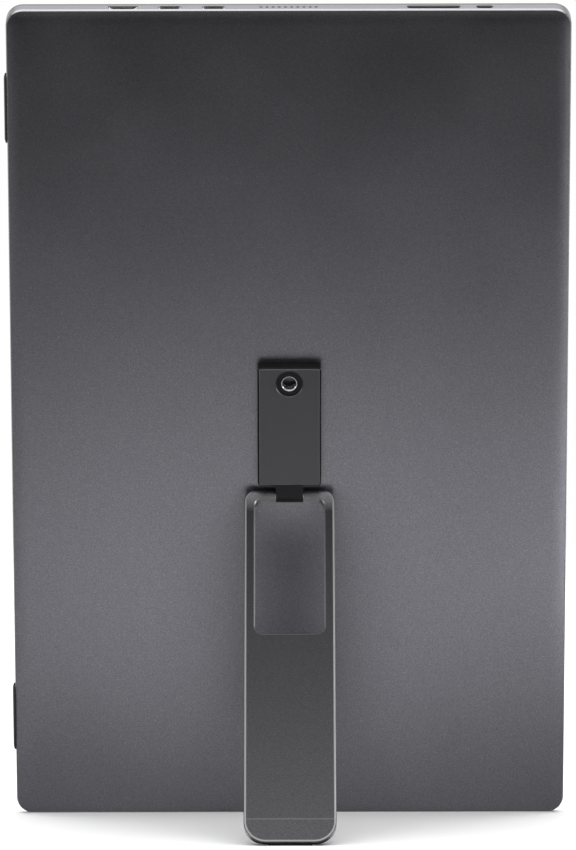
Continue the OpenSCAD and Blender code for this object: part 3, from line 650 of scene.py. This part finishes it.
# %% [markdown]
# Blasting leaves aluminium with a fine, even grain, and the dye of the anodising colours it. Three things
# make it here. The grains differ a little in tone, and each tips the light its own way. A few grains are also
# painted brighter: painted glints, standing in for flat grains that catch the light. The cut edges are made
# after the blasting, so they are bare and bright. The surface's own direction tells them apart: each cut
# keeps one angle to its flat face all the way round, so the dot product of the normal with that face's
# direction picks it out. The cuts along the long sides are painted duller than those at the ends. The
# photograph shows the cuts duller along the long sides than at the ends, and doesn't show why. That is
# painted shade, standing in for the darker light that those cuts face.

# %% Blasted metal with bright cut edges
# The long-side cut tone is painted shade: those cuts are painted duller than the cuts at the ends.
PAINTED_SHADE_SIDE_TONE = 0.42
CUT_SPREAD, CUT_ROUGH = 0.17, 0.25
GRAIN = 0.28


def blasted(f, dye, rough, facing, cut_dot, cut_tone):
    """Blasted and dyed aluminium. facing is the flat face's direction, cut_dot the dot product at
    which the cut edge lies, and cut_tone the brightness of the bare metal. Returns the shader."""
    grains = f.noise(2300, 3)
    clouds = f.noise(22, 2)
    # Painted glints: a few random grains are painted brighter in colour.
    painted_glints = f.band(f.noise(3100, 1), 0.66, 2)
    tone = f.maths("MULTIPLY", f.between(grains, 0.78, 1.22), f.between(clouds, 0.97, 1.03))
    tone = f.maths("ADD", tone, f.maths("MULTIPLY", painted_glints, 0.5))
    colour = f.nodes.new("ShaderNodeVectorMath")
    colour.operation = "SCALE"
    colour.inputs[0].default_value = dye
    f.put(colour.inputs["Scale"], tone)
    face = f.shaded(Base_Color=colour.outputs[0], Metallic=1.0, Normal=f.bump(grains, GRAIN, 0.0002),
                    Roughness=f.between(clouds, rough - 0.03, rough + 0.03))
    marks = f.noise(1.0, 2, f.laid((9000, 9000, 900)))
    along_side = f.maths("GREATER_THAN", f.maths("ABSOLUTE", f.along(across, "Normal")), 0.6)
    # The second tone, for the long sides, is painted shade.
    tones = [(tone * cut_tone, tone * cut_tone, tone * cut_tone * 1.02) for tone in (1, PAINTED_SHADE_SIDE_TONE)]
    bare = f.shaded(Base_Color=f.blend(along_side, *tones), Metallic=1.0,
                    Roughness=f.between(marks, CUT_ROUGH - 0.05, CUT_ROUGH + 0.08))
    turned_to = f.maths("ABSOLUTE", f.along(facing, "Normal"))
    return f.mixed(f.band(turned_to, cut_dot - CUT_SPREAD, cut_dot + CUT_SPREAD), face, bare)


def dress(name, material):
    """Gives a piece its one material, in place of what it has."""
    piece = bpy.data.objects[name] if name in bpy.data.objects else nodes[name]
    piece.data.materials.clear()
    piece.data.materials.append(material)
    print(name, "is finished with", material.name, "of", len(material.node_tree.nodes), "nodes")


leg_open = math.radians(-joints["leg_hinge"]["range_deg"][0])
leg_way = np.cos(leg_open) * up_body - np.sin(leg_open) * out_of_glass
leg_face = np.cross(leg_way, across)
CUT_DOT = CUT_W / math.hypot(CUT_W, CUT_D)
back = Finish("back_metal")
dress("rear_shell", back.done(blasted(back, (0.115, 0.113, 0.125), 0.30, out_of_glass, CUT_DOT, 0.36)))
print("leg opened by degrees:", round(math.degrees(leg_open), 1))

# %% [markdown]
# The leg is blasted like the back but dyed darker. The cutter then runs along every edge that a hand
# touches, so a bright line frames the outline and a duller one the window and the bevel at the tip.
# Outside the bright line a thin black strip is painted: painted shade, where the edge turns away from the
# light. The distance from a rounded rectangle finds all of these. The leg is painted darker from the tip
# towards the hinge, as painted shade. It is painted lighter again in its last few millimetres, as painted
# light. The material carries both, so they stay when the light changes.

# %% Leg
LEG_W, LEG_L, LEG_T = 37.6, 169.0, 4.0
ROOT_R, TIP_R, TIP_BEVEL = 6.0, 9.0, 10.0
WINDOW_W, WINDOW_LOW, WINDOW_END, WINDOW_R = 28.4, 2.4, 69.5, 3.5
# The black strip's width sets the painted shade outside the bright line, and the length by the hinge sets
# where the painted light lies.
LINE_W, CUT_LINE, PAINTED_SHADE_STRIP, WINDOW_LINE, PAINTED_LIGHT_L = 0.35, 1.0, 0.3, 0.6, 9
NO_CUT = 2.0


def leg_metal():
    """Blasted metal with its drawn lines: each is a band of a distance from an outline."""
    f = Finish("leg_metal")
    s, x, front = f.beyond(leg_way, HINGE), f.beyond(across, HINGE), f.along(leg_face, "Normal")
    half_l = (LEG_L + LEG_T / 2) / 2
    from_middle = f.maths("SUBTRACT", s, (LEG_L - half_l) * MM)
    tip_half = f.maths("GREATER_THAN", from_middle, 0.0)
    root_d = f.outline(x, from_middle, LEG_W / 2, half_l, ROOT_R)
    tip_d = f.outline(x, from_middle, LEG_W / 2, half_l, TIP_R)
    edge_d = f.maths("ADD", f.maths("MULTIPLY", tip_half, tip_d),
                     f.maths("MULTIPLY", f.maths("SUBTRACT", 1.0, tip_half), root_d))
    from_window = f.maths("SUBTRACT", s, (WINDOW_LOW + WINDOW_END) / 2 * MM)
    window_d = f.outline(x, from_window, WINDOW_W / 2, (WINDOW_END - WINDOW_LOW) / 2, WINDOW_R)
    from_bevel = f.maths("ABSOLUTE", f.maths("SUBTRACT", s, (LEG_L - TIP_BEVEL) * MM))
    visible = f.maths("GREATER_THAN", front, 0.4)

    # Painted light and shade: a dark tone towards the hinge is painted shade, a paler one lies at the tip,
    # and a lighter one for the last millimetres by the hinge is painted light.
    painted_light_and_shade_tones = ((0.038, 0.037, 0.041), (0.082, 0.081, 0.086), (0.24, 0.24, 0.25))
    deep, pale, lighter = [blasted(f, dye, 0.40, leg_face, NO_CUT, 0.27) for dye in painted_light_and_shade_tones]
    metal = f.mixed(f.maths("DIVIDE", s, LEG_L * MM), deep, pale)
    # Painted light: the last few millimetres by the hinge are painted lighter.
    painted_light_at_root = f.maths("SUBTRACT", 1.0, f.maths("DIVIDE", s, PAINTED_LIGHT_L * MM))
    painted_light_at_root.node.use_clamp = True
    marks = f.noise(1.0, 2, f.laid((6000, 6000, 900)))
    bright = f.shaded(Base_Color=f.blend(marks, (0.24, 0.24, 0.245), (0.30, 0.30, 0.305)), Metallic=0.8,
                      Roughness=f.between(marks, 0.3, 0.45))
    dull = f.shaded(Base_Color=f.blend(marks, (0.12, 0.12, 0.125), (0.16, 0.16, 0.165)), Metallic=0.8,
                    Roughness=f.between(marks, 0.35, 0.45))
    # This black, laid outside the bright line, is painted shade.
    black = f.shaded(Base_Color=f.blend(marks, (0.015, 0.015, 0.016), (0.025, 0.025, 0.026)), Roughness=0.5)
    shader = f.mixed(painted_light_at_root, metal, lighter)
    on_bevel = f.maths("LESS_THAN", from_bevel, LINE_W / 2 * MM)
    dull_line = f.maths("MAXIMUM", f.band(window_d, 0.0, WINDOW_LINE * MM), on_bevel)
    bright_line = f.band(edge_d, -CUT_LINE * MM, -PAINTED_SHADE_STRIP * MM)
    # Painted shade: the thin strip outside the bright line is painted black.
    outside = f.maths("GREATER_THAN", edge_d, -PAINTED_SHADE_STRIP * MM)
    for where, laid_on in ((dull_line, dull), (bright_line, bright), (outside, black)):
        shader = f.mixed(f.maths("MULTIPLY", visible, where), shader, laid_on)
    return f.done(shader)


dress("leg", leg_metal())

# %% [markdown]
# The stand plate is steel with a black satin coat, and the knuckle below carries the same coat. A thin
# lighter line round the face and the recess is a painted highlight, where light catches the edge. The recess,
# the chamfer and the sides are painted deep black as painted shade, and the knuckle takes the same deep
# black. The turned parts keep the marks of the lathe or the roller: the same noise, stretched far along one
# direction.

# %% Coated plate and bare steels
PLATE_W, PLATE_HIGH, PLATE_LOW, PLATE_CUT, PLATE_R, RECESS_R = 26.2, 25.0, -27.3, 0.7, 0.6, 5.45


def coated(name):
    """Black satin coat with a very fine orange skin. The face is the lightest. The recess, the chamfer and
    the sides are painted deep black as painted shade, and the knuckle takes the same deep black. A thin
    lighter line, a painted highlight, frames the face and the recess."""
    f = Finish(name)
    skin, clouds = f.noise(1500, 2), f.noise(60, 3)
    sideways = f.beyond(across, (0, 0, 0))
    from_middle = f.beyond(up_body, (0, 0, (PLATE_HIGH + PLATE_LOW) / 2))
    past_face = f.outline(sideways, from_middle, PLATE_W / 2 - PLATE_CUT,
                          (PLATE_HIGH - PLATE_LOW) / 2 - PLATE_CUT, PLATE_R)
    from_bush = f.radius(sideways, f.beyond(up_body, (0, 0, BUSH_UP)))
    past_recess = f.maths("GREATER_THAN", from_bush, RECESS_R * MM)
    on_face = f.maths("MULTIPLY", f.maths("LESS_THAN", past_face, 0.0), past_recess)
    satin = f.shaded(Base_Color=f.blend(clouds, (0.044, 0.043, 0.047), (0.051, 0.050, 0.054)), Metallic=0.9,
                     Roughness=f.between(clouds, 0.33, 0.39), Normal=f.bump(skin, 0.10, 0.0001))
    rings = f.maths("SINE", f.maths("MULTIPLY", from_bush, 2 * math.pi / (0.45 * MM)))
    # Painted shade: the recess, the chamfer and the sides are painted near-black, and the knuckle takes the
    # same.
    deep = f.shaded(Base_Color=f.blend(rings, (0.004, 0.004, 0.005), (0.009, 0.009, 0.010)), Metallic=0.8,
                    Roughness=f.between(skin, 0.28, 0.36))
    # Painted highlight: a thin lighter line along the face's edge and round the recess.
    painted_edge_highlight = f.shaded(Base_Color=(0.085, 0.085, 0.088), Metallic=1.0, Roughness=f.between(skin, 0.28, 0.4))
    frame_line = f.band(past_face, -LINE_W / 2 * MM, LINE_W / 2 * MM)
    ring_line = f.band(from_bush, (RECESS_R - 0.05) * MM, (RECESS_R + 0.25) * MM)
    line = f.maths("MULTIPLY", f.maths("MAXIMUM", frame_line, ring_line),
                   f.maths("GREATER_THAN", f.maths("ABSOLUTE", f.along(out_of_glass, "Normal")), 0.6))
    return f.done(f.mixed(line, f.mixed(on_face, deep, satin), painted_edge_highlight))


def steel(name, tone, rough, stretch=(400, 6000, 6000), tint=(1, 1, 1)):
    """Bare or plated steel with marks along one direction, and a few dull patches."""
    f = Finish(name)
    marks = f.noise(1.0, 2, f.laid(stretch))
    patches = f.noise(130, 3)
    dark, light = [tuple(tone * k * c for c in tint) for k in (0.85, 1.12)]
    return f.done(f.shaded(Base_Color=f.blend(marks, dark, light), Metallic=1.0,
                           Roughness=f.between(patches, rough - 0.06, rough + 0.08),
                           Normal=f.bump(marks, 0.08, 0.00005)))


dress("stand_plate", coated("plate_coat"))


def bush_finish():
    """Bright turned ring, with the thread inside the bore painted near-black as painted shade."""
    f = Finish("bush_steel")
    radius = f.radius(f.beyond(across, (0, 0, BUSH_UP)), f.beyond(up_body, (0, 0, BUSH_UP)))
    marks = f.maths("SINE", f.maths("MULTIPLY", radius, 2 * math.pi / (0.12 * MM)))
    ring = f.shaded(Base_Color=f.blend(marks, (0.34, 0.34, 0.35), (0.42, 0.42, 0.43)), Metallic=1.0,
                    Roughness=f.between(f.noise(1500), 0.18, 0.26))
    # Painted shade: the thread inside the bore is painted near-black.
    thread = f.shaded(Base_Color=f.blend(f.noise(2500), (0.02, 0.02, 0.02), (0.05, 0.05, 0.05)), Metallic=1.0,
                      Roughness=0.35)
    return f.done(f.mixed(f.maths("LESS_THAN", radius, (BUSH_BORE_R + 0.08) * MM), ring, thread))


dress("threaded_bush", bush_finish())
dress("domed_pin", steel("pin_steel", 0.45, 0.28, (8000, 900, 900)))
dress("pivot_shaft", steel("shaft_steel", 0.50, 0.25, (900, 8000, 900)))
dress("pivot_nut", steel("nut_steel", 0.52, 0.30))
dress("spring_washers", steel("spring_steel", 0.38, 0.35))
dress("pivot_bracket", steel("bracket_steel", 0.50, 0.38))
dress("bracket_screws", steel("bracket_screw_steel", 0.42, 0.30, (2000, 2000, 2000)))
dress("board_screws", steel("board_screw_steel", 0.55, 0.28, (2000, 2000, 2000)))
dress("board_shield", steel("shield_tin", 0.62, 0.34, (300, 5000, 5000)))
dress("friction_sleeves", steel("sleeve_bronze", 0.62, 0.30, (8000, 900, 900), (1.0, 0.74, 0.42)))
gold = steel("contact_gold", 0.86, 0.22, (5000, 5000, 500), (1.0, 0.78, 0.36))
for name in ("type_c_contacts_1", "type_c_contacts_2", "video_contacts"):
    dress(name, gold)

# %% [markdown]
# A socket's shell is drawn steel, plated with nickel, and the tongue inside is black plastic. Both
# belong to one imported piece, so the material asks where it is: within the tongue's box it is plastic.

# %% Sockets


def socket_finish(name, x, y, half_w, half_t):
    """Plated shell, and black plastic wherever a point lies in the tongue's box."""
    f = Finish(name)
    marks = f.noise(1.0, 2, f.laid((5000, 5000, 400)))
    shell = f.shaded(Base_Color=f.blend(marks, (0.42, 0.42, 0.43), (0.56, 0.56, 0.57)), Metallic=1.0,
                     Roughness=f.between(marks, 0.22, 0.34))
    speck = f.noise(4000, 2)
    plastic = f.shaded(Base_Color=f.blend(speck, (0.012, 0.012, 0.013), (0.022, 0.022, 0.024)),
                       Roughness=0.45, Normal=f.bump(speck, 0.1, 0.00003))
    sides = f.maths("ABSOLUTE", f.beyond(across, (x, 0, 0)))
    depth = f.beyond(out_of_glass, (0, y, 0))
    inside = f.maths("MULTIPLY", f.maths("LESS_THAN", sides, half_w * MM),
                     f.maths("LESS_THAN", f.maths("ABSOLUTE", depth), half_t * MM))
    return f.done(f.mixed(inside, shell, plastic))


for number, x in enumerate(TYPE_C_X, 1):
    dress(f"type_c_socket_{number}", socket_finish(f"type_c_{number}", x, SOCKET_Y, 3.4, 0.4))
dress("mini_video_socket", socket_finish("mini_video", VIDEO_X, SOCKET_Y + VIDEO_TONGUE_Y + 0.35, 4.45, 0.4))

# %% [markdown]
# Plastic and rubber are dull blacks that differ in their grain. The keys are moulded with a fine
# spark-eroded skin, the rubber is softer and greyer with a little dust, and the cloth is nearly
# lightless. The frame round the glass is the same plastic as the keys, a shade lighter.

# %% Plastics, rubber and cloth


def moulded(name, dark, light, rough, grain_scale, grain, depth=0.00006):
    """Moulded plastic or rubber: an eroded grain that tips the light, in two close tones."""
    f = Finish(name)
    skin = f.noise(grain_scale, 3)
    clouds = f.noise(90, 2)
    colour = f.blend(clouds, (dark, dark, dark * 1.05), (light, light, light * 1.05))
    return f.done(f.shaded(Base_Color=colour, Roughness=f.between(skin, rough - 0.06, rough + 0.06),
                           Normal=f.bump(skin, grain, depth)))


key_skin = moulded("key_plastic", 0.010, 0.016, 0.42, 5000, 0.25)
rubber = moulded("rubber", 0.009, 0.020, 0.78, 2600, 0.5)
cloth = moulded("cloth", 0.010, 0.022, 0.9, 7000, 0.4)
dress("volume_cap", key_skin)
dress("power_cap", key_skin)
for name in ("rubber_strip_upper", "rubber_strip_lower", "leg_tip_pad"):
    dress(name, rubber)
for name in ("speaker_cloth_upper", "speaker_cloth_lower"):
    dress(name, cloth)
dress("front_frame", moulded("frame_plastic", 0.012, 0.018, 0.38, 3500, 0.2))
for name in ("speaker_upper", "speaker_lower"):
    dress(name, moulded(name + "_case", 0.014, 0.020, 0.5, 2500, 0.3))
dress("friction_washer", moulded("washer_polymer", 0.008, 0.012, 0.35, 1800, 0.2))

# %% [markdown]
# The glass is bonded to the picture cell, so from outside it is one black mirror. The border is
# printed on the inside in a neutral black, and the picture area reflects a trace of violet. A faint
# haze of fingerprints breaks the mirror up.

# %% Glass, cell and light tray
ACTIVE_W, ACTIVE_H, ACTIVE_X, ACTIVE_R = 215.4, 344.7, 1.75, 1.0


def screen_glass(name):
    """Black glass: printed border, picture area and faint smears."""
    f = Finish(name)
    sides = f.beyond(across, (ACTIVE_X, 0, 0))
    ends = f.beyond(up_body, (0, 0, 0))
    picture = f.maths("LESS_THAN", f.outline(sides, ends, ACTIVE_W / 2, ACTIVE_H / 2, ACTIVE_R), 0.0)
    smears = f.noise(14, 4)
    colour = f.blend(picture, (0.0030, 0.0030, 0.0032), (0.026, 0.024, 0.032))
    return f.done(f.shaded(Base_Color=colour, Roughness=f.between(smears, 0.04, 0.11), IOR=1.52,
                           Coat_Weight=0.4, Coat_Roughness=0.03, Coat_IOR=1.4))


def tray_white(name):
    """Matt white reflector tray with the faint dots of the light guide."""
    f = Finish(name)
    dots = f.nodes.new("ShaderNodeTexVoronoi")
    dots.inputs["Scale"].default_value = 900
    f.put(dots.inputs["Vector"], f.coords.outputs["Object"])
    near = f.band(dots.outputs["Distance"], -1, 0.22)
    colour = f.blend(near, (0.55, 0.56, 0.57), (0.72, 0.73, 0.74))
    return f.done(f.shaded(Base_Color=colour, Roughness=0.55))


dress("cover_glass", screen_glass("screen_glass"))
dress("picture_cell", screen_glass("picture_cell"))
dress("backlight", tray_white("light_tray"))

# %% [markdown]
# The boards are glass fibre under a green lacquer, with copper tracks that show through as a lighter
# green. A brick pattern of long thin bricks is close to how a router lays tracks. The chips stand
# above the board, and the ribbon is amber film with fine copper lines along it.

# %% Boards and ribbon


def board_green(name, facing):
    """Green lacquer with tracks on the flat faces. What stands up from the board is black."""
    f = Finish(name)
    tracks = f.nodes.new("ShaderNodeTexBrick")
    tracks.inputs["Scale"].default_value = 1.0
    tracks.inputs["Mortar Size"].default_value = 0.03
    tracks.inputs["Brick Width"].default_value = 0.9
    tracks.inputs["Row Height"].default_value = 0.25
    tracks.inputs["Color1"].default_value = (0.006, 0.075, 0.030, 1)
    tracks.inputs["Color2"].default_value = (0.008, 0.095, 0.040, 1)
    tracks.inputs["Mortar"].default_value = (0.030, 0.190, 0.085, 1)
    swap = f.nodes.new("ShaderNodeCombineXYZ")
    f.put(swap.inputs[0], f.maths("MULTIPLY", f.along(up_body), 250))
    f.put(swap.inputs[1], f.maths("MULTIPLY", f.along(across), 250))
    f.put(tracks.inputs["Vector"], swap.outputs[0])
    lacquer = f.shaded(Base_Color=tracks.outputs["Color"], Roughness=f.between(f.noise(300, 2), 0.25, 0.38),
                       Coat_Weight=0.3, Coat_Roughness=0.2)
    depth = f.beyond(out_of_glass, (0, facing, 0))
    off_board = f.maths("GREATER_THAN", f.maths("ABSOLUTE", depth), 0.42 * MM)
    skin = f.noise(3000, 2)
    chip = f.shaded(Base_Color=f.blend(skin, (0.010, 0.010, 0.011), (0.020, 0.020, 0.021)), Roughness=0.5,
                    Normal=f.bump(skin, 0.2, 0.00004))
    return f.done(f.mixed(off_board, lacquer, chip))


def ribbon_amber(name):
    """Amber film with copper lines along its length."""
    f = Finish(name)
    lines = f.maths("SINE", f.maths("MULTIPLY", f.along(up_body), 2 * math.pi / (0.5 * MM)))
    colour = f.blend(f.maths("GREATER_THAN", lines, 0.2), (0.30, 0.13, 0.02), (0.62, 0.30, 0.09))
    return f.done(f.shaded(Base_Color=colour, Roughness=f.between(f.noise(200, 2), 0.25, 0.35), Metallic=0.3))


DRIVER_BOARD_Y = 4.8
dress("main_board", board_green("main_board", SOCKET_Y))
dress("driver_board", board_green("driver_board", DRIVER_BOARD_Y))
dress("key_board", board_green("key_board", SOCKET_Y))
dress("display_ribbon", ribbon_amber("ribbon"))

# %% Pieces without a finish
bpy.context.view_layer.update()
meshes = [piece for piece in scene.objects if piece.type == "MESH"]
print("pieces without a finish:", [piece.name for piece in meshes if not piece.data.materials])
